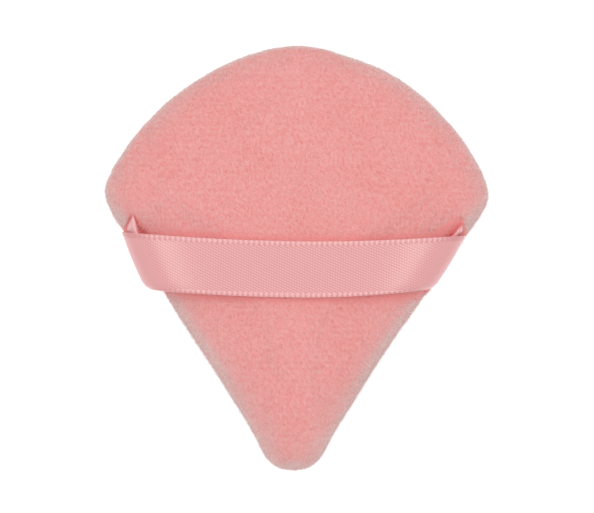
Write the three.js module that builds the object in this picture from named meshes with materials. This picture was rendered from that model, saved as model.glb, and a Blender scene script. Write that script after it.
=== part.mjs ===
// A fan-shaped powder puff: two velour covers sewn round a foam core, with a ribbon finger strap.
// Millimetres, +Z up. The powder side rests on Z = 0, the strap side faces up, +Y points to the crown.
import * as THREE from 'three';

// Outline of the pad, seen from above
const padWidth = 70; // across the two corners
const padLength = 77.5; // from the tip to the crown
const cornerDrop = 26.6; // from the crown down to the widest line
const cornerRadius = 6;
const tipRadius = 5.2;
const crownHandle = 17.3; // length of the shoulder curve's tangent at the crown
const cornerHandle = 6.8; // length of its tangent at the corner

// Section of the pad
const padThickness = 14;
const restingFlat = 0.5; // how deep the powder side is pressed flat
const peakDrop = 36.8; // from the crown to the highest point of the pad
const edgeFullness = 5; // exponent of the section curve, 2 for an ellipse, more for a fuller edge

// Covers and seam
const coverThickness = 1.2;
const seamAllowance = 3.5; // turned in behind the seam
const seamDip = 0.8; // how far the seam line is drawn in
const seamLip = 0.9; // height of the rolled lip beside the seam
const clearance = 0.3; // between pieces that touch

// Sewing thread
const threadDiameter = 0.3;
const stitchLength = 4;
const stitchHeight = 0.12; // how far a stitch bows off the allowance
const stitchInset = 2.6; // from the turned edge of the cover to the stitch line
const closingGapStart = 31; // along the seam from the tip, on the right flank
const closingGapLength = 16; // the opening through which the pad was turned
const closingStitchPitch = 1.3;
const closingStitchSwing = 0.25; // to each side of the seam line
const closingStitchDepth = 0.25; // inside the edge of the pad

// Ribbon
const ribbonWidth = 10;
const ribbonThickness = 0.35;
const strapEndDrop = 39.2; // from the crown to the strap's centre line at its ends
const strapBow = 1.4; // how far the middle of the strap sags towards the tip
const strapGap = 1.3; // between the face of the pad and the strap
const strapFullness = 3.5; // exponent of the strap's arch
const foldOverhang = 1.3; // how far the folds stand outside the flanks
const foldTurn = THREE.MathUtils.degToRad(5); // turn of a fold against its flank
const tailCatch = 2; // how far a tail reaches behind the turned edges of the covers
const tailRise = 0.6; // the strap pulls the seam up this far at the tails
const tailMargin = 3.2; // the seam is open this much wider than the ribbon on each side
const tailRamp = 4; // length of seam over which it rises and opens

// Smoothness of the lofts
const shoulderSteps = 9;
const cornerSteps = 5;
const flankSteps = 6;
const tipSteps = 5;
const leastStep = 0.8; // stations closer than this to a neighbour are left out
const domeShares = [0.93, 0.82, 0.69, 0.55, 0.41, 0.27, 0.13, 0]; // rings from the top to the seam
const flatShares = [1, 0.84, 0.67, 0.5, 0.33, 0.16, 0]; // rings from the resting flat to the seam
const strapSteps = 32;
const strapStrips = 4;
const stitchSteps = 4;
const threadSides = 4;

// Values that follow
const crownY = padLength / 2;
const tipCentreY = tipRadius - padLength / 2;
const widestY = crownY - cornerDrop;
const domeHeight = (padThickness + restingFlat) / 2;
const seamLevel = domeHeight - restingFlat;
const centreY = crownY - peakDrop;
const edgeLatitude = Math.asin((clearance / 2 + seamLip) / domeHeight); // where the lips are widest
const threadRadius = threadDiameter / 2;
const strapEndY = crownY - strapEndDrop;

// Angle of the flank: the common tangent of the corner and the tip circle.
const cornerCentre = new THREE.Vector2(padWidth / 2 - cornerRadius, widestY);
const tipCentre = new THREE.Vector2(0, tipCentreY);
const centreLine = cornerCentre.clone().sub(tipCentre);
const flankAngle = Math.acos((tipRadius - cornerRadius) / centreLine.length()) - centreLine.angle();
const flankNormal = new THREE.Vector2(Math.cos(flankAngle), -Math.sin(flankAngle));
const flankReach = cornerCentre.dot(flankNormal) + cornerRadius;

// Right half of the outline, from the crown round the corner and down the flank to the tip.
function makeHalfOutline() {
  const path = new THREE.Path();
  const tipStart = tipCentre.clone().addScaledVector(flankNormal, tipRadius);
  path.moveTo(0, crownY);
  path.bezierCurveTo(crownHandle, crownY, padWidth / 2, widestY + cornerHandle, padWidth / 2, widestY);
  path.absarc(cornerCentre.x, cornerCentre.y, cornerRadius, 0, -flankAngle, true);
  path.lineTo(tipStart.x, tipStart.y);
  path.absarc(tipCentre.x, tipCentre.y, tipRadius, -flankAngle, -Math.PI / 2, true);
  return path;
}

const halfOutline = makeHalfOutline();
const halfLength = halfOutline.getLength();
const curveEnds = halfOutline.getCurveLengths();
const flankCurve = halfOutline.curves.findIndex((curve) => curve.isLineCurve);
const flankStartY = cornerCentre.y + flankNormal.y * cornerRadius;
const tailY = strapEndY - flankNormal.y * foldOverhang;
const tailPlace = curveEnds[flankCurve - 1] + (flankStartY - tailY) / Math.cos(flankAngle);
const tailHalf = ribbonWidth / 2 + tailMargin;

// How much of the ribbon tail's opening there is at a place along the half outline, from 0 to 1.
function tailShare(place) {
  const beyond = Math.abs(place - tailPlace) - tailHalf;
  return THREE.MathUtils.clamp(1 - beyond / tailRamp, 0, 1);
}

// A station on the seam, by its distance along the outline: clockwise from the crown, seen from above.
function stationAt(distance) {
  const fullLength = 2 * halfLength;
  const along = THREE.MathUtils.euclideanModulo(distance, fullLength);
  const isLeft = along > halfLength;
  const place = isLeft ? fullLength - along : along;
  const side = isLeft ? -1 : 1;
  const point = halfOutline.getPoint(place / halfLength);
  const tangent = halfOutline.getTangent(place / halfLength);
  const onAxis = place === 0 || place === halfLength;
  const normal = onAxis ? new THREE.Vector2(0, Math.sign(point.y)) : new THREE.Vector2(-tangent.y, tangent.x);
  const share = tailShare(place);
  return {
    x: onAxis ? 0 : point.x * side,
    y: point.y,
    normalX: normal.x * side,
    normalY: normal.y,
    rise: tailRise * share,
    halfGap: (clearance + (ribbonThickness + clearance) * share) / 2,
  };
}

// Distances of the stations on the half outline: even steps on each curve, and the tail's opening.
function halfStations() {
  const steps = [shoulderSteps, cornerSteps, flankSteps, tipSteps];
  const kept = [0, halfLength];
  for (const offset of [0, tailHalf, tailHalf + tailRamp]) {
    kept.push(tailPlace - offset, tailPlace + offset);
  }
  steps.forEach((count, index) => {
    const start = index ? curveEnds[index - 1] : 0;
    for (let step = 0; step < count; step += 1) {
      const distance = start + ((curveEnds[index] - start) * step) / count;
      if (kept.every((other) => Math.abs(other - distance) > leastStep)) kept.push(distance);
    }
  });
  return [...new Set(kept)].sort((a, b) => a - b);
}

const rightDistances = halfStations();
const leftDistances = rightDistances.slice(1, -1).reverse().map((distance) => 2 * halfLength - distance);
const stations = [...rightDistances, ...leftDistances].map(stationAt);

// A point of the pad's surface, or of a surface that lies `inside` it, at a latitude from the seam level.
function domePoint(station, latitude, inside) {
  const reach = (Math.cos(latitude) / Math.cos(edgeLatitude)) ** (2 / edgeFullness);
  const edgeX = station.x - station.normalX * inside;
  const edgeY = station.y - station.normalY * inside;
  const height = seamLevel + (domeHeight - inside) * Math.sin(latitude);
  return new THREE.Vector3(edgeX * reach, centreY + (edgeY - centreY) * reach, height);
}

// Latitude at which a surface `inside` the pad reaches a height above the seam level.
function latitudeAt(height, inside) {
  return Math.asin(height / (domeHeight - inside));
}

function flatLatitude(inside) {
  return -latitudeAt(seamLevel - inside, inside);
}

// A point between the covers, `depth` behind the drawn-in seam line.
function allowancePoint(station, depth, height) {
  const seam = domePoint(station, latitudeAt(station.rise, 0), seamDip);
  const fromCentre = new THREE.Vector2(seam.x, seam.y - centreY);
  fromCentre.setLength(fromCentre.length() - depth);
  return new THREE.Vector3(fromCentre.x, centreY + fromCentre.y, height);
}

function ringOf(place) {
  return stations.map(place);
}

// Rings of one surface, at shares of the way from a start latitude to an end latitude.
function domeRings(shares, startLatitude, endLatitude, inside) {
  return shares.map((share) => ringOf((station) => {
    const latitude = THREE.MathUtils.lerp(startLatitude(station), endLatitude, share);
    return domePoint(station, latitude, inside);
  }));
}

function polePoint(height) {
  return [new THREE.Vector3(0, centreY, height)];
}

// Closed surface through rings of points. A ring of one point is a pole.
function skin(rings) {
  const starts = [];
  const positions = [];
  for (const ring of rings) {
    starts.push(positions.length / 3);
    for (const point of ring) positions.push(point.x, point.y, point.z);
  }
  const index = [];
  for (let row = 0; row + 1 < rings.length; row += 1) {
    const near = rings[row].length;
    const far = rings[row + 1].length;
    for (let step = 0; step < Math.max(near, far); step += 1) {
      const next = step + 1;
      const nearHere = starts[row] + (step % near);
      const nearNext = starts[row] + (next % near);
      const farHere = starts[row + 1] + (step % far);
      const farNext = starts[row + 1] + (next % far);
      if (near > 1) index.push(nearHere, nearNext, farNext);
      if (far > 1) index.push(nearHere, farNext, farHere);
    }
  }
  const geometry = new THREE.BufferGeometry();
  geometry.setAttribute('position', new THREE.Float32BufferAttribute(positions, 3));
  geometry.setIndex(index);
  geometry.computeVertexNormals();
  return geometry;
}

// Closes the two ends of a strip or a tube with a pole in the middle of its end section.
function withEnds(rings) {
  const middle = (ring) => {
    const sum = ring.reduce((total, point) => total.add(point), new THREE.Vector3());
    return [sum.divideScalar(ring.length)];
  };
  return [middle(rings[0]), ...rings, middle(rings[rings.length - 1])];
}

function mirrored(rings) {
  return rings.map((ring) => ring.map((point) => new THREE.Vector3(-point.x, point.y, point.z)).reverse());
}

// Rings of the seam allowance of one cover, from the seam line in and back along its other face.
// `side` is 1 for the strap side and -1 for the powder side.
function allowanceRings(side) {
  const face = (station) => seamLevel + station.rise + side * station.halfGap;
  const back = (station) => face(station) + side * coverThickness;
  const depth = coverThickness + seamAllowance;
  return [
    ringOf((station) => allowancePoint(station, 0, face(station))),
    ringOf((station) => allowancePoint(station, depth, face(station))),
    ringOf((station) => allowancePoint(station, depth, back(station))),
  ];
}

function makeStrapSideCover() {
  const lip = (station) => latitudeAt(station.rise + station.halfGap + seamLip, 0);
  const turn = (station) => latitudeAt(station.rise + station.halfGap + coverThickness, coverThickness);
  const top = Math.PI / 2;
  return skin([
    polePoint(seamLevel + domeHeight),
    ...domeRings(domeShares, lip, top, 0),
    ...allowanceRings(1),
    ...domeRings(domeShares, turn, top, coverThickness).reverse(),
    polePoint(seamLevel + domeHeight - coverThickness),
  ]);
}

function makePowderSideCover() {
  const lip = (station) => latitudeAt(station.rise - station.halfGap - seamLip, 0);
  const turn = (station) => latitudeAt(station.rise - station.halfGap - coverThickness, coverThickness);
  return skin([
    polePoint(coverThickness),
    ...domeRings(flatShares, turn, flatLatitude(coverThickness), coverThickness),
    ...allowanceRings(-1).reverse(),
    ...domeRings(flatShares, lip, flatLatitude(0), 0).reverse(),
    polePoint(0),
  ]);
}

// The foam fills the covers and is notched all round for the allowances and their stitches.
function makeFoamCore() {
  const inside = coverThickness + clearance;
  const stitchRoom = threadDiameter + stitchHeight + 2 * clearance;
  const notchHalf = (station) => station.halfGap + coverThickness + stitchRoom;
  const notchDepth = coverThickness + seamAllowance + clearance;
  const upper = (station) => latitudeAt(station.rise + notchHalf(station), inside);
  const lower = (station) => latitudeAt(station.rise - notchHalf(station), inside);
  const notchRing = (side) => ringOf((station) => {
    const height = seamLevel + station.rise + side * notchHalf(station);
    return allowancePoint(station, notchDepth, height);
  });
  return skin([
    polePoint(seamLevel + domeHeight - inside),
    ...domeRings(domeShares, upper, Math.PI / 2, inside),
    notchRing(1),
    notchRing(-1),
    ...domeRings(flatShares, lower, flatLatitude(inside), inside).reverse(),
    polePoint(inside),
  ]);
}

// A thread along the seam: a tube through points given by the distance along the outline.
function threadAlong(start, end, steps, place) {
  const rings = [];
  for (let step = 0; step <= steps; step += 1) {
    const distance = THREE.MathUtils.lerp(start, end, step / steps);
    const station = stationAt(distance);
    const centre = place(station, step);
    const ring = [];
    for (let side = 0; side < threadSides; side += 1) {
      const angle = (2 * Math.PI * side) / threadSides;
      const out = threadRadius * Math.cos(angle);
      const up = threadRadius * Math.sin(angle);
      const offset = new THREE.Vector3(out * station.normalX, out * station.normalY, up);
      ring.push(centre.clone().add(offset));
    }
    rings.push(ring);
  }
  return skin(withEnds(rings));
}

const closingStart = halfLength - closingGapStart;
const closingEnd = closingStart + closingGapLength;

// The machine seam runs from one side of the turning gap all the way round to the other.
// `side` is 1 for the needle thread and -1 for the bobbin thread.
function makeSeamThread(side) {
  const start = closingEnd;
  const end = closingStart + 2 * halfLength;
  const stitches = Math.round((end - start) / stitchLength);
  return threadAlong(start, end, stitches * stitchSteps, (station, step) => {
    const bow = stitchHeight * Math.abs(Math.sin((Math.PI * step) / stitchSteps));
    const off = station.halfGap + coverThickness + clearance + threadRadius + bow;
    const height = seamLevel + station.rise + side * off;
    return allowancePoint(station, coverThickness + stitchInset, height);
  });
}

// The closing thread zigzags along the bottom of the seam's groove.
function makeClosingStitch() {
  const swings = Math.round(closingGapLength / closingStitchPitch);
  return threadAlong(closingStart, closingEnd, swings, (station, step) => {
    const swing = step % 2 ? closingStitchSwing : -closingStitchSwing;
    const point = domePoint(station, latitudeAt(station.rise, 0), closingStitchDepth);
    point.z = seamLevel + station.rise + swing;
    return point;
  });
}

// Where the fold of the right strap end lies, at a share of the ribbon's width from -0.5 to 0.5.
function foldPoint(share) {
  const y = strapEndY + share * ribbonWidth;
  const middleX = (flankReach + foldOverhang - flankNormal.y * strapEndY) / flankNormal.x;
  const slope = Math.tan(flankAngle - foldTurn);
  return new THREE.Vector2(middleX + slope * share * ribbonWidth, y);
}

// The strap arches from fold to fold. Its middle sags towards the tip.
function makeStrapSpan() {
  const footHeight = seamLevel + tailRise + ribbonThickness / 2 + clearance;
  const archHeight = seamLevel + domeHeight + strapGap + ribbonThickness / 2 - footHeight;
  const shares = Array.from({ length: strapStrips + 1 }, (_, strip) => strip / strapStrips - 0.5);
  const rings = [];
  for (let step = 0; step <= strapSteps; step += 1) {
    const angle = (Math.PI * step) / strapSteps;
    const cosine = step * 2 === strapSteps ? 0 : Math.cos(angle);
    const reach = Math.sign(cosine) * Math.abs(cosine) ** (2 / strapFullness);
    const sideways = (2 / strapFullness) * Math.abs(cosine) ** (2 / strapFullness - 1) * Math.sin(angle);
    const across = (share, side) => {
      const fold = foldPoint(share);
      const normal = new THREE.Vector2(archHeight * cosine, fold.x * (cosine ? sideways : 1));
      normal.setLength((side * ribbonThickness) / 2);
      const sag = strapBow * (1 - reach * reach);
      const height = footHeight + archHeight * Math.sin(angle);
      return new THREE.Vector3(fold.x * reach + normal.x, fold.y - sag, height + normal.y);
    };
    const outer = shares.map((share) => across(share, 1));
    const inner = shares.map((share) => across(share, -1)).reverse();
    rings.push([...outer, ...inner]);
  }
  return skin(withEnds(rings));
}

// A tail lies flat in the open seam, from its fold in between the seam allowances.
function makeTail() {
  const innerReach = flankReach - seamDip - coverThickness - tailCatch;
  const level = seamLevel + tailRise;
  const section = (place) => {
    const low = place(foldPoint(-0.5));
    const high = place(foldPoint(0.5));
    const at = (point, side) => new THREE.Vector3(point.x, point.y, level + (side * ribbonThickness) / 2);
    return [at(low, 1), at(high, 1), at(high, -1), at(low, -1)];
  };
  const inner = (point) => point.clone().addScaledVector(flankNormal, innerReach - point.dot(flankNormal));
  return withEnds([section((point) => point), section(inner)]);
}

const velour = new THREE.MeshStandardMaterial({ name: 'cotton velour', color: 0xeca09d, roughness: 0.95 });
const satin = new THREE.MeshStandardMaterial({ name: 'polyester satin', color: 0xe8a8a9, roughness: 0.45 });
const foam = new THREE.MeshStandardMaterial({ name: 'polyurethane foam', color: 0xf4ecdc, roughness: 0.9 });
const thread = new THREE.MeshStandardMaterial({ name: 'polyester thread', color: 0xe69a98, roughness: 0.6 });

const puff = new THREE.Group();
puff.name = 'powder_puff';

function addPiece(name, geometry, material) {
  const mesh = new THREE.Mesh(geometry, material);
  mesh.name = name;
  puff.add(mesh);
}

addPiece('strap_side_cover', makeStrapSideCover(), velour);
addPiece('powder_side_cover', makePowderSideCover(), velour);
addPiece('foam_core', makeFoamCore(), foam);
addPiece('finger_strap_span', makeStrapSpan(), satin);
addPiece('finger_strap_right_tail', skin(makeTail()), satin);
addPiece('finger_strap_left_tail', skin(mirrored(makeTail())), satin);
addPiece('seam_needle_thread', makeSeamThread(1), thread);
addPiece('seam_bobbin_thread', makeSeamThread(-1), thread);
addPiece('closing_stitch', makeClosingStitch(), thread);

export default puff;
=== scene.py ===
# %% [markdown]
# # A velour powder puff with a ribbon finger strap
# The puff is two velour covers sewn round a foam pad, with a satin ribbon caught in the side seam.
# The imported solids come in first. They fix every place and size, and all new pieces are made over
# them. Lengths are written in millimetres, and MM turns them into Blender's metres.

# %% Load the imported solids
import math

import bmesh
import bpy
import numpy as np
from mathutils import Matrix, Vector


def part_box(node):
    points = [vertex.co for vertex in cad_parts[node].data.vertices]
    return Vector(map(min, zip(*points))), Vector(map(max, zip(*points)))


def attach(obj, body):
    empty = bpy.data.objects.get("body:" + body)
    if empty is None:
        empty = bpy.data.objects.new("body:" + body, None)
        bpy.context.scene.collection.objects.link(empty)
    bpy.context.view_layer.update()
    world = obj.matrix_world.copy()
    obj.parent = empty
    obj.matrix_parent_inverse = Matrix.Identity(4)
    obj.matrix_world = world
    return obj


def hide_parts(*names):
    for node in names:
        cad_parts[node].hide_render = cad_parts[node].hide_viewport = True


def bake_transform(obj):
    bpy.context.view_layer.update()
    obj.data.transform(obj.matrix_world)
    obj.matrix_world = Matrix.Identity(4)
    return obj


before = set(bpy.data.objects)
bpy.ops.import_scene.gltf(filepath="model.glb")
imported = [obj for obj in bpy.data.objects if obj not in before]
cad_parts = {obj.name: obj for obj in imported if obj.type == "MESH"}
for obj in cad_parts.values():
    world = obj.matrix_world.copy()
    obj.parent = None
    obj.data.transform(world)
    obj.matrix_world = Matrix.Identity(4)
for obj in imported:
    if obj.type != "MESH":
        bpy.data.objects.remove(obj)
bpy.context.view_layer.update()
MM = 0.001
print("solids:", sorted(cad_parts))

# %% [markdown]
# Colours are written as sRGB hex, as a colour picker shows them, and Blender wants linear light.
# One function does that change, and one adds a node with its settings and links. The others stand on
# it, so that each material below reads as a short list of what the real surface has.

# %% Colour and node helpers
MIX_FIRST = 6    # a Mix node's sockets for colours, by number
MIX_SECOND = 7
MIX_RESULT = 2
WAVE_TURNS = 20  # radians that a wave texture counts to one unit


def linear(hex_colour):
    """Linear light of an sRGB colour, by the curve of the sRGB standard."""
    channels = [int(hex_colour[start:start + 2], 16) / 255 for start in (1, 3, 5)]
    return (*[c / 12.92 if c <= 0.04045 else ((c + 0.055) / 1.055) ** 2.4 for c in channels], 1.0)


def add_node(tree, kind, settings=None):
    """A new node. A socket among its settings is linked, and any other value is set."""
    node = tree.nodes.new(kind)
    for name, value in (settings or {}).items():
        if isinstance(value, bpy.types.NodeSocket):
            tree.links.new(value, node.inputs[name])
        elif isinstance(name, int) or name in node.inputs:
            node.inputs[name].default_value = value
        else:
            setattr(node, name, value)
    return node


def do_math(tree, operation, *values):
    return add_node(tree, "ShaderNodeMath", {"operation": operation, **dict(enumerate(values))}).outputs[0]


def mix_colours(tree, share, first, second):
    """A colour between two others, each a hex string or a socket."""
    first, second = (linear(colour) if isinstance(colour, str) else colour for colour in (first, second))
    settings = {"data_type": "RGBA", 0: share, MIX_FIRST: first, MIX_SECOND: second}
    return add_node(tree, "ShaderNodeMix", settings).outputs[MIX_RESULT]


def per_metre(size_mm):
    """Texture scale for a pattern whose cells are size_mm across, on coordinates in metres."""
    return 1 / (size_mm * MM)


def band_scale(pitch):
    """Scale of a wave texture whose bands repeat after this pitch."""
    return 2 * math.pi / (WAVE_TURNS * pitch)


def empty_material(name):
    material = bpy.data.materials.new(name)
    material.use_nodes = True
    material.node_tree.nodes.clear()
    return material


def add_surface(tree, settings):
    surface = add_node(tree, "ShaderNodeBsdfPrincipled", settings)
    add_node(tree, "ShaderNodeOutputMaterial", {0: surface.outputs[0]})


print("white is", [round(c, 3) for c in linear("#ffffff")])

# %% [markdown]
# The photo looks straight down on the strap side, so the camera hangs above the pad with a long
# lens. The pad lies about three quarters of a degree clockwise in the picture, which the camera's
# own roll gives. The scale is 5.5 pixels to a millimetre at the height of the seam.

# %% Camera
PICTURE_WIDTH = 594  # pixels
PIXELS_PER_MM = 5.5
LENS = 200
SENSOR = 36
ROLL = math.radians(0.75)
AIM = (0.22, 0.38)
seam_z = (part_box("closing_stitch")[0].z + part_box("closing_stitch")[1].z) / 2
view_width = PICTURE_WIDTH / PIXELS_PER_MM * MM
camera = bpy.data.objects.new("camera", bpy.data.cameras.new("camera"))
camera.data.lens = LENS
camera.data.sensor_width = SENSOR
camera.location = (AIM[0] * MM, AIM[1] * MM, seam_z + view_width * LENS / SENSOR)
camera.rotation_euler = (0, 0, ROLL)
bpy.context.collection.objects.link(camera)
bpy.context.scene.camera = camera
print("seam at", round(seam_z / MM, 2), "mm, camera at", round(camera.location.z / MM), "mm")

# %% [markdown]
# The studio is a white room with a plain white floor. Two lamps, left and right, give the ribbon its
# two broad highlights. A larger one stands beyond the crown, because the strap's shadow is deeper along
# its tip side. The floor shines white to the camera but still takes a little of the pad's shadow.

# %% Floor and light
FLOOR_HALF = 3      # metres
FLOOR_GLOW = 0.72
ROOM_LIGHT = 0.565
LAMPS = {           # place and width in metres, power in watts
    "left softbox": ((-0.34, 0.03, 0.85), 0.2, 1.06),
    "right softbox": ((0.32, 0.03, 0.85), 0.2, 1.11),
    "crown softbox": ((0.0, 0.35, 0.8), 0.5, 1.05),
}


def new_object(name, bm, material):
    mesh = bpy.data.meshes.new(name)
    bm.to_mesh(mesh)
    bm.free()
    piece = bpy.data.objects.new(name, mesh)
    if material:
        mesh.materials.append(material)
    bpy.context.collection.objects.link(piece)
    return piece


def make_paper():
    # Matt paper shows no gloss. What the camera sees of it, also in a gloss, glows up to plain white.
    material = empty_material("matt white paper")
    tree = material.node_tree
    ray = add_node(tree, "ShaderNodeLightPath").outputs
    seen = do_math(tree, "MAXIMUM", ray["Is Camera Ray"], ray["Is Glossy Ray"])
    seen = do_math(tree, "MAXIMUM", seen, ray["Is Transmission Ray"])
    paper = add_node(tree, "ShaderNodeBsdfDiffuse", {"Color": linear("#f4f4f4")}).outputs[0]
    glow = add_node(tree, "ShaderNodeEmission", {"Color": linear("#ffffff"), "Strength": FLOOR_GLOW})
    bright = add_node(tree, "ShaderNodeAddShader", {0: paper, 1: glow.outputs[0]})
    mixed = add_node(tree, "ShaderNodeMixShader", {0: seen, 1: paper, 2: bright.outputs[0]})
    add_node(tree, "ShaderNodeOutputMaterial", {0: mixed.outputs[0]})
    return material


def add_floor():
    bm = bmesh.new()
    bmesh.ops.create_grid(bm, x_segments=1, y_segments=1, size=FLOOR_HALF)
    floor = new_object("floor", bm, make_paper())


def add_lamp(name, place, size, power):
    lamp = bpy.data.lights.new(name, "AREA")
    lamp.shape = "DISK"
    lamp.size = size
    lamp.energy = power
    holder = bpy.data.objects.new(name, lamp)
    holder.location = place
    holder.rotation_euler = (-Vector(place)).to_track_quat("-Z", "Y").to_euler()
    bpy.context.collection.objects.link(holder)


def add_world(strength):
    world = bpy.data.worlds.new("white room")
    world.use_nodes = True
    world.node_tree.nodes["Background"].inputs["Color"].default_value = linear("#ffffff")
    world.node_tree.nodes["Background"].inputs["Strength"].default_value = strength
    bpy.context.scene.world = world


add_floor()
add_world(ROOM_LIGHT)
for name, (place, size, power) in LAMPS.items():
    add_lamp(name, place, size, power)
bpy.context.scene.view_settings.view_transform = "Standard"

# %% [markdown]
# Velour is a knitted backing with a dense, short, cut pile. The eye sees a flat, even colour with fine
# brushed strokes where tufts lean different ways, faint rows of the knit, and a pale bloom towards the
# outline. There the view grazes the pile and meets only fibre ends, which scatter more light. That sheen
# is painted into the colour: Layer Weight mixes it towards a pale one, and only where pile stands. Where
# the pile is thin or pressed, the colour is a deeper, redder pink: partly pressed pile, and partly painted
# shade in the hollows and in bands along the strap's edges. Light that bounces about in creases turns
# them redder still. The backing, its pile and the loose fibres get a finish each.

# %% Velour
STROKE_SIZE = 0.4
STROKE_TURN = math.radians(18)
STROKE_STRETCH = 2.2
CLOUD_SIZE = 9
CLOUD_SHARE = 0.2
ROW_PITCH = 1.1
ROW_SHARE = 0.06
TONE_ENDS = (0.35, 0.9)  # pattern values of the deepest and the palest colour
# The next four set a painted sheen: the colour is mixed towards a pale one where the view grazes the pile.
GRAZE_POWER = 2.0
PAINTED_SHEEN = 2.3
PAINTED_SHEEN_CAP = 0.5
PAINTED_SHEEN_COLOUR = "#f1ebe8"
GRAIN_SIZE = 0.35
GRAIN_DEPTH = 0.15


def add_noise(tree, place, size_mm, detail):
    settings = {"Vector": place, "Scale": per_metre(size_mm), "Detail": detail}
    return add_node(tree, "ShaderNodeTexNoise", settings).outputs[0]


def add_tufts(tree, place, deep, pale):
    """The pile's own colour: brushed strokes, soft clouds and faint rows of the knit."""
    turned = {"Rotation": (0, 0, STROKE_TURN), "Scale": (1, STROKE_STRETCH, 1)}
    strokes = add_node(tree, "ShaderNodeMapping", {"vector_type": "TEXTURE", "Vector": place, **turned})
    mottle = add_noise(tree, strokes.outputs[0], STROKE_SIZE, 2.0)
    cloud = add_noise(tree, place, CLOUD_SIZE, 1.0)
    rows = add_node(tree, "ShaderNodeTexWave",
                    {"bands_direction": "Y", "Vector": place, "Scale": band_scale(ROW_PITCH * MM),
                     "Distortion": 2.5, "Detail": 2.0, "Detail Scale": 3.0})
    tone = do_math(tree, "MULTIPLY_ADD", cloud, CLOUD_SHARE, mottle)
    tone = do_math(tree, "MULTIPLY_ADD", rows.outputs[0], ROW_SHARE, tone)
    ramp = add_node(tree, "ShaderNodeValToRGB", {"Fac": tone})
    for end, position, colour in zip(ramp.color_ramp.elements, TONE_ENDS, (deep, pale)):
        end.position = position
        end.color = linear(colour)
    return ramp.outputs[0]


def add_painted_sheen(tree, stands):
    """How much painted sheen the pile gets, from 0 to the cap: most where the view grazes standing fibres.
    """
    stand = add_node(tree, "ShaderNodeAttribute", {"attribute_name": "stand"}).outputs["Vector"]
    graze = add_node(tree, "ShaderNodeLayerWeight", {"Blend": 0.5, "Normal": stand}).outputs["Facing"]
    graze = do_math(tree, "POWER", graze, GRAZE_POWER)
    graze = do_math(tree, "MULTIPLY", graze, PAINTED_SHEEN)
    graze = do_math(tree, "MINIMUM", graze, PAINTED_SHEEN_CAP)
    return do_math(tree, "MULTIPLY", graze, stands)


def make_velour(name, bare_and_shaded, deep, pale):
    material = empty_material(name)
    tree = material.node_tree
    place = add_node(tree, "ShaderNodeTexCoord").outputs["Object"]
    stands = add_node(tree, "ShaderNodeAttribute", {"attribute_name": "pile"}).outputs["Fac"]
    # Where the pile is thin the colour goes to the deeper first one: partly pressed pile, partly painted
    # shade in the hollows and along the strap.
    colour = mix_colours(tree, stands, bare_and_shaded, add_tufts(tree, place, deep, pale))
    # Painted sheen: Layer Weight mixes the colour towards a pale one where the view grazes the pile.
    colour = mix_colours(tree, add_painted_sheen(tree, stands), colour, PAINTED_SHEEN_COLOUR)
    grain = add_noise(tree, place, GRAIN_SIZE, 2.0)
    bump = add_node(tree, "ShaderNodeBump", {"Strength": 0.5, "Distance": GRAIN_DEPTH * MM, "Height": grain})
    add_surface(tree, {"Roughness": 0.95, "Specular IOR Level": 0.15, "Sheen Weight": 0.1,
                       "Sheen Roughness": 0.5, "Sheen Tint": linear("#fff4f0"),
                       "Base Color": colour, "Normal": bump.outputs[0]})
    return material


# Each finish's first colour shows where the pile is thin or pressed. For the backing and the cut pile it is
# a deeper pink, partly pressed pile and partly painted shade in the hollows and along the strap's edges.
backing = make_velour("cotton velour, knitted backing", "#ff9f9e", "#f79e9b", "#fab8b5")
cut_pile = make_velour("cotton velour, cut pile", "#ff9f9e", "#ec9a97", "#fbddda")
# The loose fibres are near white: painted sheen for the pale glow of the outline.
loose_fibre_painted_sheen = make_velour("cotton velour, loose fibres", "#f0e6e2", "#ebe0dc", "#faf6f4")
print("finishes:", backing.name + ",", cut_pile.name, "and", loose_fibre_painted_sheen.name)

# %% [markdown]
# The pad's outline is taken from the two covers' solids: their convex hull is the closed pad without
# its seam. Remeshing gives even faces, and Blender's cloth then blows the skin up a little, held at
# the seam, as stuffing does. A cap keeps every point close to its solid.

# %% Pad form
MERGE = 1e-6      # metres: points nearer than this count as one
VOXEL = 0.9
PILE_ROOM = 0.1   # the skin starts this far inside the hull
SEAM_HELD = 0.8   # share of a voxel: points this near the seam are held
SWELL_CAP = 0.5
SMOOTHING = 4     # passes
SIM_FRAMES = 18


def points_of(mesh):
    points = np.empty(len(mesh.vertices) * 3)
    mesh.vertices.foreach_get("co", points)
    return points.reshape(-1, 3)


def normals_of(mesh):
    normals = np.empty(len(mesh.vertices) * 3)
    mesh.vertices.foreach_get("normal", normals)
    return normals.reshape(-1, 3)


def move_points(mesh, points):
    mesh.vertices.foreach_set("co", points.ravel())
    mesh.update()


def apply_modifiers(piece):
    graph = bpy.context.evaluated_depsgraph_get()
    mesh = bpy.data.meshes.new_from_object(piece.evaluated_get(graph))
    piece.modifiers.clear()
    piece.data = mesh


def merged_copy(*nodes):
    """The meshes of these solids in one bmesh, with coinciding points merged."""
    bm = bmesh.new()
    for node in nodes:
        bm.from_mesh(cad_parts[node].data)
    bmesh.ops.remove_doubles(bm, verts=bm.verts, dist=MERGE)
    return bm


def even_faces(piece):
    remesh = piece.modifiers.new("even faces", "REMESH")
    remesh.mode = "VOXEL"
    remesh.voxel_size = VOXEL * MM
    apply_modifiers(piece)


def make_pad():
    bm = merged_copy("strap_side_cover", "powder_side_cover")
    hull = bmesh.ops.convex_hull(bm, input=bm.verts)
    spare = set(hull["geom_interior"]) | set(hull["geom_unused"])
    spare = [item for item in spare if isinstance(item, bmesh.types.BMVert)]
    bmesh.ops.delete(bm, geom=spare, context="VERTS")
    bmesh.ops.recalc_face_normals(bm, faces=bm.faces)
    pad = new_object("pad_form", bm, None)
    even_faces(pad)
    move_points(pad.data, points_of(pad.data) - normals_of(pad.data) * PILE_ROOM * MM)
    return pad


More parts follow.
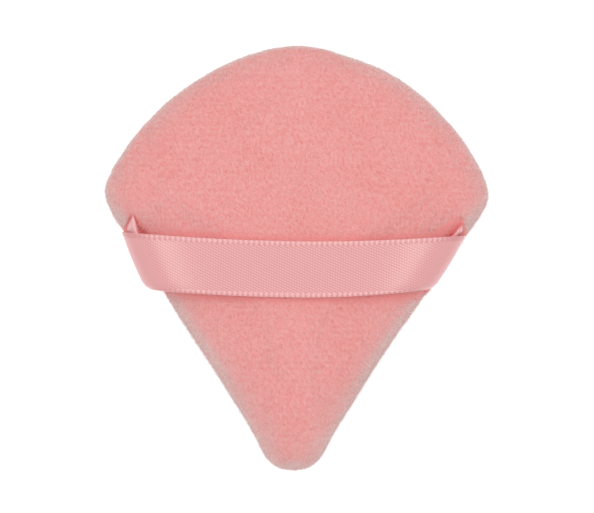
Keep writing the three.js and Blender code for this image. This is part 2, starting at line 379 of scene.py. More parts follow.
def stuff(pad):
    start = points_of(pad.data)
    seam = pad.vertex_groups.new(name="seam")
    near = np.abs(start[:, 2] - seam_z) < VOXEL * MM * SEAM_HELD
    seam.add([int(i) for i in np.flatnonzero(near)], 1.0, "REPLACE")
    cloth = pad.modifiers.new("stuffing", "CLOTH")
    cloth.settings.vertex_group_mass = "seam"
    cloth.settings.quality = 5
    cloth.settings.mass = 0.02
    cloth.settings.tension_stiffness = 4
    cloth.settings.compression_stiffness = 4
    cloth.settings.shear_stiffness = 2
    cloth.settings.bending_stiffness = 0.01
    cloth.settings.use_pressure = True
    cloth.settings.uniform_pressure_force = 4
    cloth.settings.shrink_min = -0.03
    cloth.settings.effector_weights.gravity = 0
    cloth.collision_settings.use_collision = False
    cloth.point_cache.frame_end = SIM_FRAMES
    for step in range(1, SIM_FRAMES + 1):
        bpy.context.scene.frame_set(step)
    apply_modifiers(pad)
    bpy.context.scene.frame_set(1)
    moved = points_of(pad.data) - start
    far = np.linalg.norm(moved, axis=1)
    print("cloth moved up to", round(far.max() / MM, 2), "mm, mean", round(far.mean() / MM, 2), "mm")
    capped = np.minimum(1, SWELL_CAP * MM / np.maximum(far, MERGE))
    move_points(pad.data, start + moved * capped[:, None])


def smooth_out(piece, passes, chosen=None):
    bm = bmesh.new()
    bm.from_mesh(piece.data)
    verts = [vert for vert in bm.verts if chosen is None or chosen[vert.index]]
    for _ in range(passes):
        bmesh.ops.smooth_vert(bm, verts=verts, factor=0.5,
                              use_axis_x=True, use_axis_y=True, use_axis_z=True)
    bm.to_mesh(piece.data)
    bm.free()


pad = make_pad()
stuff(pad)
smooth_out(pad, SMOOTHING)
print("pad form:", len(pad.data.vertices), "points")

# %% [markdown]
# Where the strap's ends are caught, the ribbon pulls the seam up on to the strap side, and the velour
# above the strap falls into a small hollow. Both are moves of the pad's points, measured from the
# straight flank: how far inside its edge a point lies, and how far along it from the strap. A stuffed
# pad is never quite even either, so a few soft pushes give its outline the fullness of a real one.

# %% Tucks at the strap's ends
FLANK_ANGLE = math.radians(33.2)
TUCK_PLACE = (29.0, -0.4)
TUCK_HALF = 5.6            # half of the seam's raised length, and the ramp beyond it
TUCK_RAMP = 3.0
SEAM_RISE = 3.0
RISE_ENDS = (8, 12)        # inside the edge, where the raised level falls off
SEAM_INSET = 2.4
HOLLOW_EDGES = {"right": ((28.3, 8.2), (23.6, 4.6)), "left": ((29.6, 8.5), (25.1, 4.6))}
HOLLOW_SLOPE = 1.5
HOLLOW_INSIDE = (4.8, 6.8)  # where a hollow fades out: inside the edge, at the edge, towards the tip
HOLLOW_RIM = (-0.2, 0.6)
HOLLOW_FOOT = (-9, -5)
HOLLOW_TOP = 7.6
HOLLOW_RISE = 1.35         # mm up for each mm inside the seam
HOLLOW_SMOOTHING = 2       # passes
TAIL_EDGES = {"right": (5.1, 0.89), "left": (5.6, 0.7)}
TAIL_RAMP = 0.5
FLOOR_ROOM = 0.25
OUTLINE_PUSHES = (         # x, y, push along the normal, radius
    (19.5, 31.0, 0.9, 12),
    (9.5, 37.0, -0.35, 5),
    (-20.0, 31.0, 0.25, 10),
    (-34.5, 11.5, 0.45, 5),
    (34.5, 12.5, 0.45, 7),
    (32.0, 6.0, -0.45, 3.5),
    (-20.5, -13.0, 0.35, 9),
    (-29.5, 21.0, -0.25, 6),
    (18.0, -18.0, -0.3, 12),
    (4.5, -36.0, 0.5, 4),
    (-4.5, -36.0, 0.5, 4),
)
flank_out = np.array([math.cos(FLANK_ANGLE), -math.sin(FLANK_ANGLE)])
flank_up = np.array([math.sin(FLANK_ANGLE), math.cos(FLANK_ANGLE)])
cover_points = points_of(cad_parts["strap_side_cover"].data)[:, :2] / MM
flank_reach = float((cover_points @ flank_out).max())


def smooth(low, high, values):
    share = np.clip((values - low) / (high - low), 0, 1)
    return share * share * (3 - 2 * share)


def plan_of(points):
    """Places in plan, in mm, with the left half turned over on to the right."""
    return np.column_stack([np.abs(points[:, 0]), points[:, 1]]) / MM


def from_flank(points):
    """Distance inside the nearer flank and along it from the strap's end, in mm."""
    plan = plan_of(points)
    inside = flank_reach - plan @ flank_out
    along = plan @ flank_up - np.dot(TUCK_PLACE, flank_up)
    return inside, along


def tuck_share(along):
    return 1 - smooth(TUCK_HALF, TUCK_HALF + TUCK_RAMP, np.abs(along))


def seam_level(points):
    inside, along = from_flank(points)
    return seam_z + SEAM_RISE * MM * tuck_share(along) * (1 - smooth(*RISE_ENDS, inside))


def tail_edge(points, inside):
    """How far along the flank the crown-side edge of the strap's tucked-in tail lies."""
    feet, leans = (np.where(points[:, 0] > 0, right, left)
                   for right, left in zip(TAIL_EDGES["right"], TAIL_EDGES["left"]))
    return np.minimum(HOLLOW_TOP, feet + leans * np.maximum(inside, 0))


def hollow_share(points):
    """How far each point belongs to a hollow, from 0 to 1."""
    plan = plan_of(points)
    inside, along = from_flank(points)
    below = np.zeros(len(points))
    limit = tail_edge(points, inside)
    for side, corners in HOLLOW_EDGES.items():
        start, end = (np.array(corner) for corner in corners)
        edge = (end - start) / np.linalg.norm(end - start)
        here = (points[:, 0] > 0) == (side == "right")
        below[here] = (plan[here] - start) @ np.array([-edge[1], edge[0]])
    share = smooth(0, HOLLOW_SLOPE, below) * (1 - smooth(*HOLLOW_INSIDE, inside))
    share = share * smooth(*HOLLOW_RIM, inside)
    share = share * smooth(*HOLLOW_FOOT, along) * (1 - smooth(limit - TAIL_RAMP, limit, along))
    return share * (points[:, 2] > seam_z)


def press_hollows(piece, depth=0):
    points = points_of(piece.data)
    inside = from_flank(points)[0]
    share = hollow_share(points)
    beyond = np.maximum(inside - SEAM_INSET, 0)
    climb = 1 - (1 - np.clip(inside / SEAM_INSET, 0, 1)) ** 2
    floor = climb * SEAM_RISE + HOLLOW_RISE * beyond - depth
    points[:, 2] -= share * np.maximum(points[:, 2] - seam_z - floor * MM, 0)
    move_points(piece.data, points)
    print(piece.name, "hollows:", int((share > 0.5).sum()), "points pressed in")


def push_outline(piece):
    points = points_of(piece.data)
    normals = normals_of(piece.data)
    shift = np.zeros(len(points))
    for x, y, push, radius in OUTLINE_PUSHES:
        away = np.hypot(points[:, 0] / MM - x, points[:, 1] / MM - y)
        shift += push * np.exp(-(away / radius) ** 2)
    points[:, :2] += normals[:, :2] * shift[:, None] * MM
    move_points(piece.data, points)


push_outline(pad)
refine = pad.modifiers.new("finer", "SUBSURF")
refine.levels = refine.render_levels = 1
apply_modifiers(pad)
press_hollows(pad)
smooth_out(pad, HOLLOW_SMOOTHING, hollow_share(points_of(pad.data)) > 0)
pad_points = points_of(pad.data)
pad_points[:, 2] = np.maximum(pad_points[:, 2], FLOOR_ROOM * MM)
move_points(pad.data, pad_points)

# %% [markdown]
# A sewn seam draws in and leaves a crease between two rolled lips. The points near the seam move in
# along their normals, most at the seam itself. The closed pad is then cut along that crease into the
# two covers. To cut along a line that rises at the tucks, the points are let down by that rise, cut
# level and put back. A wall will give each cover the thickness of real velour.

# %% Two covers
SEAM_DIP = 0.9
TUCK_DIP = -0.3     # added at the tucks, where the seam draws in less
LIP_HEIGHT = 0.7
QUIET_SEAM = ((3.0, 5.0), (8.6, 10.5))
QUIET_SHARE = 0.85  # of the dip, taken away where the seam is quiet
SNAP = 0.15


def seam_quiet(along):
    """How far the seam closes up, from 0 to 1, where it slopes down from a tuck towards the crown."""
    start, end = QUIET_SEAM
    return smooth(*start, along) * (1 - smooth(*end, along))


def draw_in_seam(piece, lip_height):
    points = points_of(piece.data)
    height = np.abs(points[:, 2] - seam_level(points)) / MM
    along = from_flank(points)[1]
    dip = (SEAM_DIP + TUCK_DIP * tuck_share(along)) * (1 - QUIET_SHARE * seam_quiet(along))
    dip = dip * np.exp(-height / lip_height)
    move_points(piece.data, points - normals_of(piece.data) * dip[:, None] * MM)


def let_down(bm, way):
    """Moves the points down by the seam's rise at the tucks, or up again with a way of -1."""
    points = np.array([vert.co for vert in bm.verts])
    for vert, level in zip(bm.verts, seam_level(points)):
        vert.co.z -= way * (level - seam_z)


def shade(mesh, rounded):
    mesh.polygons.foreach_set("use_smooth", [rounded] * len(mesh.polygons))


def cut_cover(name, above):
    bm = bmesh.new()
    bm.from_mesh(pad.data)
    let_down(bm, 1)
    for vert in bm.verts:
        if abs(vert.co.z - seam_z) < SNAP * MM:
            vert.co.z = seam_z
    bmesh.ops.bisect_plane(bm, geom=bm.verts[:] + bm.edges[:] + bm.faces[:], dist=MERGE,
                           plane_co=(0, 0, seam_z), plane_no=(0, 0, 1),
                           clear_inner=above, clear_outer=not above)
    let_down(bm, -1)
    cover = new_object(name, bm, backing)
    shade(cover.data, True)
    return cover


draw_in_seam(pad, LIP_HEIGHT)
strap_velour = cut_cover("strap_side_velour", True)
powder_velour = cut_cover("powder_side_velour", False)
bpy.data.objects.remove(pad)
for cover, node in ((strap_velour, "strap_side_cover"), (powder_velour, "powder_side_cover")):
    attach(cover, "pad")
    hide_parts(node)
    print(cover.name, len(cover.data.polygons), "faces")

# %% [markdown]
# The pile is what makes velour velour: short fibres standing all over the backing, leaning a little
# with the nap. Three attributes on each cover say how thick the pile stands, how much loose fuzz there
# is, and which way the fibres point for the painted sheen. There is less pile where the seam, a hollow
# or the ribbon holds it down, and the deeper colour that shows there is partly painted shade in the
# hollows and along the strap's edges.

# %% Where the pile stands
FUZZ_HEIGHTS = (1.5, 5.0)    # from the seam, where the fuzz thins out
# The next lean only steers the painted sheen. The fibres' real lean is set by the nap further down.
PAINTED_SHEEN_NAP = 0.14              # lean of the fibres towards the tip, as the eye sees it
BARE_SEAM = (0.1, 0.6)       # from the seam, where the pile begins
TAIL_FOOT = (-6.2, -5.4)     # along the flank, where a ribbon tail begins
TAIL_END = (SEAM_INSET - 0.2, SEAM_INSET + 0.3)
TAIL_FLOOR = 0.5             # above the seam's level, where a tail can press
HOLLOW_START = (0.05, 0.3)   # shares of a hollow over which its pile goes down
# Less pile in a hollow, and its deeper colour there: partly pressed pile, partly painted shade.
HOLLOW_PRESSED_AND_SHADED = 0.75
# A band under the strap and a little beyond each edge: pressed pile with the deeper colour, which is partly
# painted shade where the strap's shadow falls.
STRAP_EDGES = ((-6.9, 0.9), (3.1, 1.4))  # y of each edge at the middle, and its rise to the end
STRAP_HALF = 30.0
PRESS_AND_SHADE_REACH = 1.6
PRESSED_AND_SHADED = 0.7


def mark_pile(cover):
    points = points_of(cover.data)
    height = np.abs(points[:, 2] - seam_level(points)) / MM
    inside, along = from_flank(points)
    limit = tail_edge(points, inside)
    tail = smooth(*TAIL_FOOT, along) * (1 - smooth(limit - TAIL_RAMP, limit, along))
    tail = tail * (points[:, 2] > seam_z + TAIL_FLOOR * MM) * (1 - smooth(*TAIL_END, inside))
    share = np.maximum(smooth(*BARE_SEAM, height), seam_quiet(along))
    share = share * (1 - tail) * (1 - HOLLOW_PRESSED_AND_SHADED * smooth(*HOLLOW_START, hollow_share(points)))
    # Painted shade, in part: under the strap and a little beyond its edges the pile thins and the colour
    # goes deeper.
    bow = (points[:, 0] / (STRAP_HALF * MM)) ** 2
    above_low, above_high = (points[:, 1] / MM - middle - rise * bow for middle, rise in STRAP_EDGES)
    pressed = smooth(-PRESS_AND_SHADE_REACH, 0, above_low) * (1 - smooth(0, PRESS_AND_SHADE_REACH, above_high))
    share = share * (1 - PRESSED_AND_SHADED * pressed * (points[:, 2] > seam_z))
    cover.data.attributes.new("pile", "FLOAT", "POINT").data.foreach_set("value", share)
    rim = share * (1 - smooth(*FUZZ_HEIGHTS, height))
    cover.data.attributes.new("fuzz", "FLOAT", "POINT").data.foreach_set("value", rim)
    # The fibres' direction, tipped towards the tip, steers the painted sheen.
    leaning = normals_of(cover.data) - (0, PAINTED_SHEEN_NAP, 0)
    leaning /= np.linalg.norm(leaning, axis=1)[:, None]
    stand = cover.data.attributes.new("stand", "FLOAT_VECTOR", "POINT")
    stand.data.foreach_set("vector", leaning.ravel())
    print(cover.name, "mean share of pile:", round(float(share.mean()), 2))


for cover in (strap_velour, powder_velour):
    mark_pile(cover)

# %% [markdown]
# Geometry nodes scatter thin closed cones over each cover, as many as those attributes say. Longer,
# finer fibres round the rim give the fuzzy outline that a bump map cannot; their near-white colour is
# painted sheen. Each fibre's place in a flat map is kept too, so that a colour can be baked on to it.
# The covers get their wall last.

# %% Pile
PILE_FIBRE = (0.34, 0.06)   # length and thickness
FIBRES_PER_LOT = 48000
FUZZ_FIBRE = (0.9, 0.04)
FUZZ_PER_SQUARE_MM = 16
NAP = (0.0, -0.25, 0.0)
STRAY = (0.7, 0.7, 0.3)     # how far a fibre may lean from the surface's normal, each way
FIBRE_SIZES = (0.6, 1.15)   # smallest and largest, as shares of the full size
PILE_SEED = 11
FUZZ_SEED = 21
ABOVE_FLOOR = (-1, -1, 0)   # the lowest place, in metres, that a fibre's point may take
MAP_SCALE = (12, 12, 0)     # from metres to the flat map, and the map's middle
MAP_MIDDLE = (0.5, 0.5, 0)
COVER_WALL = 1.1
SHARP_ANGLE = math.radians(50)


def do_vector_math(tree, operation, *values):
    settings = {"operation": operation, **dict(enumerate(values))}
    return add_node(tree, "ShaderNodeVectorMath", settings).outputs[0]


def read_attribute(tree, kind, name):
    return add_node(tree, "GeometryNodeInputNamedAttribute", {"data_type": kind, "Name": name}).outputs[0]


def keep_attribute(tree, kind, domain, name, geometry, value):
    settings = {"data_type": kind, "domain": domain, "Name": name, "Geometry": geometry, "Value": value}
    return add_node(tree, "GeometryNodeStoreNamedAttribute", settings).outputs[0]


def add_fibres(tree, roots, fibre_size, seed):
    """One cone on each root, leaning with the nap and a little astray."""
    place = add_node(tree, "GeometryNodeInputPosition").outputs[0]
    marked = keep_attribute(tree, "FLOAT_VECTOR", "POINT", "root", roots["Points"], place)
    stray = {0: tuple(-part for part in STRAY), 1: STRAY}
    lean = add_node(tree, "FunctionNodeRandomValue", {"data_type": "FLOAT_VECTOR", "Seed": seed, **stray})
    lean = do_vector_math(tree, "ADD", lean.outputs[0], NAP)
    lean = do_vector_math(tree, "ADD", lean, roots["Normal"])
    turn = add_node(tree, "FunctionNodeAlignRotationToVector", {"axis": "Z", "Vector": lean})
    sizes = {2: FIBRE_SIZES[0], 3: FIBRE_SIZES[1]}
    size = add_node(tree, "FunctionNodeRandomValue", {"data_type": "FLOAT", "Seed": seed + 1, **sizes})
    fibre = add_node(tree, "GeometryNodeMeshCone",
                     {"Vertices": 3, "Radius Top": 0.0, "Radius Bottom": fibre_size[1] / 2 * MM,
                      "Depth": fibre_size[0] * MM})
    spread = keep_attribute(tree, "FLOAT_VECTOR", "POINT", "spread", fibre.outputs["Mesh"], place)
    fibres = add_node(tree, "GeometryNodeInstanceOnPoints",
                      {"Points": marked, "Instance": spread, "Rotation": turn.outputs[0],
                       "Scale": size.outputs[1]})
    fibres = add_node(tree, "GeometryNodeRealizeInstances", {"Geometry": fibres.outputs[0]}).outputs[0]
    above = do_vector_math(tree, "MAXIMUM", place, ABOVE_FLOOR)
    return add_node(tree, "GeometryNodeSetPosition", {"Geometry": fibres, "Position": above}).outputs[0]


def make_pile_nodes(name, where, density, fibre_size, material, seed):
    tree = bpy.data.node_groups.new(name, "GeometryNodeTree")
    tree.interface.new_socket("Geometry", in_out="INPUT", socket_type="NodeSocketGeometry")
    tree.interface.new_socket("Geometry", in_out="OUTPUT", socket_type="NodeSocketGeometry")
    cover = add_node(tree, "NodeGroupInput").outputs[0]
    local_density = do_math(tree, "MULTIPLY", read_attribute(tree, "FLOAT", where), density)
    roots = add_node(tree, "GeometryNodeDistributePointsOnFaces",
                     {"Seed": seed, "Mesh": cover, "Density": local_density})
    fibres = add_fibres(tree, roots.outputs, fibre_size, seed)
    root, spread = (read_attribute(tree, "FLOAT_VECTOR", part) for part in ("root", "spread"))
    flat = do_vector_math(tree, "ADD", root, spread)
    flat = do_vector_math(tree, "MULTIPLY_ADD", flat, MAP_SCALE, MAP_MIDDLE)
    fibres = keep_attribute(tree, "FLOAT2", "CORNER", "OFBake", fibres, flat)
    fibres = add_node(tree, "GeometryNodeSetMaterial", {"Material": material, "Geometry": fibres})
    add_node(tree, "NodeGroupOutput", {0: fibres.outputs[0]})
    return tree


def grow_pile(cover, kind, where, density, fibre_size, material, seed):
    name = cover.name.replace("velour", kind)
    pile = bpy.data.objects.new(name, cover.data.copy())
    bpy.context.collection.objects.link(pile)
    nodes = make_pile_nodes(name, where, density, fibre_size, material, seed)
    pile.modifiers.new("pile", "NODES").node_group = nodes
    apply_modifiers(pile)
    for attribute in ("root", "spread"):
        pile.data.attributes.remove(pile.data.attributes[attribute])
    shade(pile.data, False)
    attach(pile, "pad")
    print(name, len(pile.data.polygons) // 4, "fibres")


def give_wall(piece, thickness, offset):
    wall = piece.modifiers.new("wall", "SOLIDIFY")
    wall.thickness = thickness * MM
    wall.offset = offset
    apply_modifiers(piece)


for cover, lots in ((strap_velour, 3), (powder_velour, 2)):
    density = FIBRES_PER_LOT / sum(face.area for face in cover.data.polygons)
    for lot in range(lots):
        grow_pile(cover, f"pile_{lot + 1}", "pile", density, PILE_FIBRE, cut_pile, PILE_SEED + lot)
    grow_pile(cover, "fuzz", "fuzz", FUZZ_PER_SQUARE_MM / MM ** 2, FUZZ_FIBRE, loose_fibre_painted_sheen, FUZZ_SEED)
    give_wall(cover, COVER_WALL, -1)
    cover.data.set_sharp_from_angle(angle=SHARP_ANGLE)

# %% [markdown]
# Satin ribbon is woven so that its threads float over several crossing threads at a time, each row
# stepped along from the last. The eye sees fine slanting rows of floats, a soft sheen that is broad
# across the threads, and a firmer selvedge along both edges. The weave follows the ribbon's own UV
# map, which is laid out in millimetres.

# %% Satin
RIBBON_WIDTH = 10.0
SELVEDGE = 0.78
BEAD_PITCH = 0.94
FLOAT_WAVES = ((0.90, 2.02, 1.0), (2.19, -0.02, 0.45), (1.29, -2.04, 0.3))
FLOAT_TONE = 0.29
# Where the floats fade the tone rises by what they take from it: painted light at the ribbon's turned-down
# ends.
PLAIN_LEVEL = 0.62    # tone without floats, and what the floats take from it
FLOAT_LEVEL = -0.12
# How much paler the reverse is painted: painted light for the tails that lie in shade.
REVERSE_PAINTED_LIGHT = 0.4


def add_weave(tree, weave):
    """Crossing waves, each with its counts per mm along and across the ribbon and its weight."""
    total = 0.0
    for along, across, weight in FLOAT_WAVES:
        turns = (2 * math.pi * along, 2 * math.pi * across, 0)
        phase = add_node(tree, "ShaderNodeVectorMath", {"operation": "DOT_PRODUCT", 0: weave, 1: turns})
        wave = do_math(tree, "COSINE", phase.outputs["Value"])
        total = do_math(tree, "MULTIPLY_ADD", wave, weight, total)
    return total


def make_satin():
    material = empty_material("polyester satin, woven")
    tree = material.node_tree
    weave = add_node(tree, "ShaderNodeUVMap", {"uv_map": "weave"}).outputs[0]
    # The floats blur into a smooth sheen where the ribbon turns down at its ends. There the colour is
    # painted paler too, painted light where the ribbon turns away from the lamps.
    shown = add_node(tree, "ShaderNodeAttribute", {"attribute_name": "floats"}).outputs["Fac"]
    floats = do_math(tree, "MULTIPLY", add_weave(tree, weave), shown)
    level = do_math(tree, "MULTIPLY_ADD", shown, FLOAT_LEVEL, PLAIN_LEVEL)
    # The reverse, which the folded-back tails show, has no floats. Its colour is painted paler, as painted
    # light for the tails that lie in shade down by the seam, and its selvedge goes pale too.
    reverse = add_node(tree, "ShaderNodeAttribute", {"attribute_name": "reverse"}).outputs["Fac"]
    level = do_math(tree, "MULTIPLY_ADD", reverse, REVERSE_PAINTED_LIGHT, level)
    tone = do_math(tree, "MULTIPLY_ADD", floats, FLOAT_TONE, level)
    body = mix_colours(tree, tone, "#dc8889", "#fec0c1")
    # The selvedge is a firm row of beads, where the crossing thread turns back.
    beads = add_node(tree, "ShaderNodeTexWave",
                     {"bands_direction": "X", "Scale": band_scale(BEAD_PITCH), "Vector": weave})
    beads = do_math(tree, "MULTIPLY", beads.outputs["Fac"], shown)
    beads = do_math(tree, "ADD", beads, reverse)
    border = mix_colours(tree, beads, "#e89e9f", "#fdbbbb")
    across = add_node(tree, "ShaderNodeSeparateXYZ", {0: weave}).outputs[1]
    edge = do_math(tree, "PINGPONG", across, RIBBON_WIDTH / 2)
    edge = do_math(tree, "LESS_THAN", edge, SELVEDGE)
    colour = mix_colours(tree, edge, body, border)
    bump = add_node(tree, "ShaderNodeBump", {"Strength": 0.3, "Distance": 0.015 * MM, "Height": floats})
    along = add_node(tree, "ShaderNodeTangent", {"direction_type": "UV_MAP", "uv_map": "weave"})
    add_surface(tree, {"Roughness": 0.32, "IOR": 1.5, "Specular IOR Level": 0.8, "Anisotropic": 0.7,
                       "Anisotropic Rotation": 0.25, "Base Color": colour,
                       "Normal": bump.outputs[0], "Tangent": along.outputs[0]})
    return material


satin = make_satin()
print("finish:", satin.name)

# %% [markdown]
# The strap is one length of ribbon. From the middle it runs flat over the pad, falls steeply at the
# edge, rolls under on a slanting fold and slips back into the seam, which is why a corner of it shows
# past its own edge. It is made as two halves that meet in the middle. First come the paths: one for
# each line across the ribbon.

# %% Paths of the ribbon
RIBBON_THICKNESS = 0.3
SIGNS = {"right": 1, "left": -1}
MIDDLE_Y = -1.93
FOLDS = {"right": ((30.6, 4.6), (24.3, -5.9)), "left": ((-31.4, 4.4), (-26.6, -6.5))}
ARCH_POWER = 3.5       # of the arch from the middle to the fold, where 2 would be a round one
FOLD_LEVEL = 2.0       # above the seam
FOLD_RADIUS = 0.55
FOLD_TURN = math.radians(115)
FOLD_BULGE = 0.28
CORNER_ROLL = 1.4
CORNER_SHARE = 0.18    # of the ribbon's width
RIM_LEVEL = 4.8        # the rim that a tail climbs over: its level, its inset on each side and its slant
RIM_INSETS = {"right": (2.1, -0.09), "left": (2.4, 0.34)}
RIM_PLACE = 5.0
RIM_MARGIN = 0.5
TAIL_INSET = 4.2
TAIL_TURNS = {"right": math.radians(29), "left": math.radians(17)}
TAIL_FALL = 8.0        # mm down for each mm past the rim
TAIL_LEVEL = 0.45
SPAN_STEPS = 400
FOLD_STEPS = 24
TAIL_STEPS = 60
EDGE_LINES = (0, 0.08, 0.25, 0.42, 0.6, 0.77, 0.85, 1.1)
MIDDLE_LINES = 12
fold_z = seam_z / MM + FOLD_LEVEL
crest_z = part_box("finger_strap_span")[1].z / MM - RIBBON_THICKNESS / 2


def ribbon_lines():
    """Places across the ribbon, in mm from its tip-side edge, closer together at the selvedges."""
    edge = np.array(EDGE_LINES)
    middle = np.linspace(edge[-1], RIBBON_WIDTH - edge[-1], MIDDLE_LINES)[1:-1]
    return np.concatenate([edge, middle, RIBBON_WIDTH - edge[::-1]])


def lay_span(end, line):
    """From the middle over the pad and down to the fold."""
    angle = np.linspace(math.pi / 2, 0, SPAN_STEPS)
    reach = np.cos(angle) ** (2 / ARCH_POWER)
    rise = np.sin(angle) ** (2 / ARCH_POWER)
    middle = MIDDLE_Y + line - RIBBON_WIDTH / 2
    return np.column_stack([end[0] * reach, end[1] + (middle - end[1]) * (1 - reach ** 2),
                            fold_z + (crest_z - fold_z) * rise])


def lay_roll(end, out):
    """Round the fold, until the ribbon runs back under itself."""
    turn = np.linspace(0, FOLD_TURN, FOLD_STEPS)[1:]
    shift = FOLD_RADIUS * (np.cos(turn) - 1)
    return np.column_stack([end[0] + out[0] * shift, end[1] + out[1] * shift,
                            fold_z - FOLD_RADIUS * np.sin(turn)])


def lay_tail(start, back, side):
    """Back from the fold, over the rim of the opened seam and down into it."""
    inset = flank_reach - start[:2] @ flank_out
    length = (TAIL_INSET - inset) / -(back @ flank_out)
    far = np.linspace(0, length, TAIL_STEPS)[1:]
    depth = inset - far * (back @ flank_out)
    along = (start[:2] - TUCK_PLACE) @ flank_up + far * (back @ flank_up)
    rim_inset = RIM_INSETS[side][0] + RIM_INSETS[side][1] * (along - RIM_PLACE)
    rim_inset = np.maximum(rim_inset, inset + RIM_MARGIN)
    up = 1 - np.clip((rim_inset - depth) / (rim_inset - inset), 0, 1) ** 2
    down = np.maximum(depth - rim_inset, 0)
    height = start[2] + (seam_z / MM + RIM_LEVEL - start[2]) * up - TAIL_FALL * down
    height = np.maximum(height, seam_z / MM + TAIL_LEVEL)
    return np.column_stack([start[0] + back[0] * far, start[1] + back[1] * far, height])


def length_of(path):
    return np.linalg.norm(np.diff(path, axis=0), axis=1).sum()


def ribbon_paths(side):
    """For each line across the ribbon, its path into the seam and the length of that before the fold."""
    sign = SIGNS[side]
    top, bottom = (np.array(corner) * (sign, 1) for corner in FOLDS[side])
    fold = (top - bottom) / np.linalg.norm(top - bottom)
    out = np.array([fold[1], -fold[0]])
    back = fold * fold[0] - out * out[0]
    turn = math.atan2(back[1], back[0]) - TAIL_TURNS[side]
    back = np.array([math.cos(turn), math.sin(turn)])
    paths = []
    for line in ribbon_lines():
        share = line / RIBBON_WIDTH
        end = bottom + (top - bottom) * share
        end = end + out * FOLD_BULGE * 4 * share * (1 - share)
        end = end - out * CORNER_ROLL * max(0, 1 - share / CORNER_SHARE) ** 2
        span = lay_span(end, line)
        roll = lay_roll(end, out)
        tail = lay_tail(roll[-1], back, side)
        paths.append((np.concatenate([span, roll, tail]) * (sign, 1, 1), length_of(span)))
    return paths


paths_of = {side: ribbon_paths(side) for side in FOLDS}
for side, paths in paths_of.items():
    print(side, "half:", len(paths), "paths, the first", round(length_of(paths[0][0]), 1), "mm long")

# %% [markdown]
# A flat grid is then laid along those paths row by row. Its UV map keeps the flat places, so that the
# weave bends with the ribbon. Two attributes tell the satin where its floats show and where its reverse
# shows; where the floats fade and on the reverse, the colour is painted paler as painted light. The
# selvedges are raised into beads, and a wall gives the ribbon its thickness.

# %% Ribbon
SMOOTH_END = (4.0, 10.0)    # before the fold, where the floats fade
REVERSE_START = (0.4, 1.2)  # past the fold, where the reverse begins
ROW = 0.16
BEAD_HEIGHT = 0.12
BEAD_FLOOR = 0.4            # share of that height between two beads


def resample(path, rows):
    steps = np.linalg.norm(np.diff(path, axis=0), axis=1)
    length = np.concatenate([[0], np.cumsum(steps)])
    wanted = np.linspace(0, length[-1], rows + 1)
    return np.column_stack([np.interp(wanted, length, path[:, axis]) for axis in range(3)]), length[-1]


def raise_beads(bm, cell, floats):
    for vert in bm.verts:
        along, across = cell[vert]
        from_edge = min(across, RIBBON_WIDTH - across)
        if from_edge < SELVEDGE:
            bead = vert[floats] * (0.5 + 0.5 * math.cos(2 * math.pi * along / BEAD_PITCH))
            height = BEAD_HEIGHT * math.sin(math.pi * from_edge / SELVEDGE)
            vert.co += vert.normal * MM * height * (BEAD_FLOOR + (1 - BEAD_FLOOR) * bead)


def lay_ribbon(side, rows, laid):
    """The bmesh of one half, whose cells know their places along and across the flat ribbon."""
    lines = ribbon_lines()
    bm = bmesh.new()
    bmesh.ops.create_grid(bm, x_segments=rows, y_segments=len(lines) - 1, size=1)
    weave = bm.loops.layers.uv.new("weave")
    floats = bm.verts.layers.float.new("floats")
    reverse = bm.verts.layers.float.new("reverse")
    cell = {}
    for vert in bm.verts:
        row = round((vert.co.x + 1) / 2 * rows)
        line = round((vert.co.y + 1) / 2 * (len(lines) - 1))
        places, length = laid[line]
        along = length * row / rows
        to_fold = paths_of[side][line][1] - along
        cell[vert] = (along, lines[line])
        vert[floats] = float(smooth(*SMOOTH_END, to_fold))
        vert[reverse] = float(smooth(*REVERSE_START, -to_fold))
        vert.co = Vector(places[row]) * MM
    for face in bm.faces:
        face.smooth = True
        for loop in face.loops:
            along, across = cell[loop.vert]
            loop[weave].uv = (SIGNS[side] * along, across)
    if side == "left":
        bmesh.ops.reverse_faces(bm, faces=bm.faces)
    bm.normal_update()
    raise_beads(bm, cell, floats)
    return bm


def make_ribbon(side):
    rows = round(max(length_of(path) for path, _ in paths_of[side]) / ROW)
    laid = [resample(path, rows) for path, _ in paths_of[side]]
    ribbon = new_object(f"ribbon_{side}_half", lay_ribbon(side, rows, laid), satin)
    give_wall(ribbon, RIBBON_THICKNESS, 0)
    # The two halves meet in one plane.
    points = points_of(ribbon.data)
    points[np.abs(points[:, 0]) < ROW / 4 * MM, 0] = 0
    move_points(ribbon.data, points)
    ribbon.data.set_sharp_from_angle(angle=SHARP_ANGLE)
    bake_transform(ribbon)
    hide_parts("finger_strap_span", f"finger_strap_{side}_tail")


for side in FOLDS:
    make_ribbon(side)

# %% [markdown]
# Inside is a pad of soft polyurethane foam, cut to the covers' outline. It never shows, but a part
# without it would be an empty bag. It is the foam's solid with even faces, eased in from the covers
# and pressed down where they are.

# %% Foam pad
FOAM_EASE = 0.7
FOAM_CELL = 0.6
FOAM_PIT = 0.2


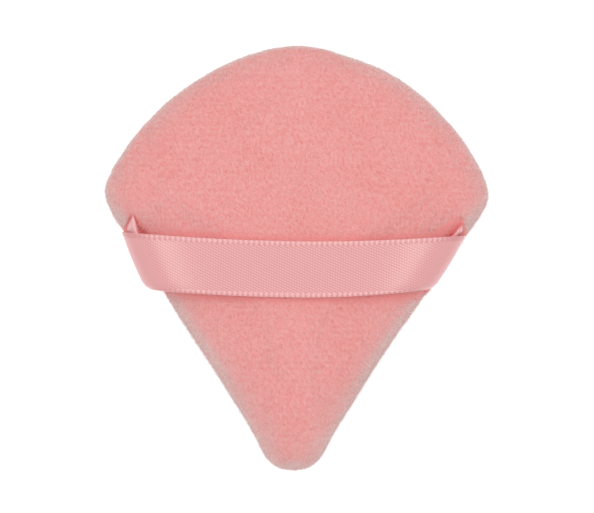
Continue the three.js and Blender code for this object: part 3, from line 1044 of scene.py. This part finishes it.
def make_foam_finish():
    # Foam is a mass of open cells, so the eye sees a pale matt surface full of small pits.
    material = empty_material("polyurethane foam, open cell")
    tree = material.node_tree
    place = add_node(tree, "ShaderNodeTexCoord").outputs["Object"]
    settings = {"Scale": per_metre(FOAM_CELL), "Vector": place}
    cells = add_node(tree, "ShaderNodeTexVoronoi", settings).outputs[0]
    bump = add_node(tree, "ShaderNodeBump", {"Strength": 0.6, "Distance": FOAM_PIT * MM, "Height": cells})
    colour = mix_colours(tree, cells, "#e0d4c6", "#f5ede4")
    add_surface(tree, {"Roughness": 0.95, "Base Color": colour, "Normal": bump.outputs[0]})
    return material


def make_foam():
    foam = new_object("foam_pad", merged_copy("foam_core"), None)
    even_faces(foam)
    foam.data.materials.append(make_foam_finish())
    smooth_out(foam, SMOOTHING)
    move_points(foam.data, points_of(foam.data) - normals_of(foam.data) * FOAM_EASE * MM)
    press_hollows(foam, COVER_WALL + FOAM_EASE)
    draw_in_seam(foam, 2 * LIP_HEIGHT)
    shade(foam.data, True)
    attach(foam, "pad")
    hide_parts("foam_core")
    print(foam.name, len(foam.data.polygons), "faces")


make_foam()

# %% [markdown]
# The covers are joined by a lockstitch inside the seam, and the gap that they were turned through is
# closed by hand with small ladder stitches. The lockstitch keeps its solids. The ladder stitches sit
# in the seam's groove, so their solid is copied and moved in by the depth of the groove.

# %% Threads
STITCH_SINK = 0.75
PLY_PITCH = 0.35


def make_thread():
    # Spun polyester thread is plied, so the eye sees fine slanting bands of light and dark, and a
    # slight sheen.
    material = empty_material("spun polyester thread")
    tree = material.node_tree
    place = add_node(tree, "ShaderNodeTexCoord").outputs["Object"]
    plies = add_node(tree, "ShaderNodeTexWave",
                     {"bands_direction": "DIAGONAL", "Scale": band_scale(PLY_PITCH * MM),
                      "Distortion": 1.0, "Vector": place})
    colour = mix_colours(tree, plies.outputs["Fac"], "#d58786", "#f0a9a8")
    add_surface(tree, {"Roughness": 0.6, "Sheen Weight": 0.2, "Base Color": colour})
    return material


thread = make_thread()
for node in ("seam_needle_thread", "seam_bobbin_thread"):
    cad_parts[node].data.materials.clear()
    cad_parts[node].data.materials.append(thread)
bm = merged_copy("closing_stitch")
bmesh.ops.translate(bm, verts=bm.verts, vec=Vector((*flank_out, 0)) * -STITCH_SINK * MM)
ladder = new_object("ladder_stitches", bm, thread)
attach(ladder, "pad")
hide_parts("closing_stitch")
print(ladder.name, len(ladder.data.polygons), "faces")
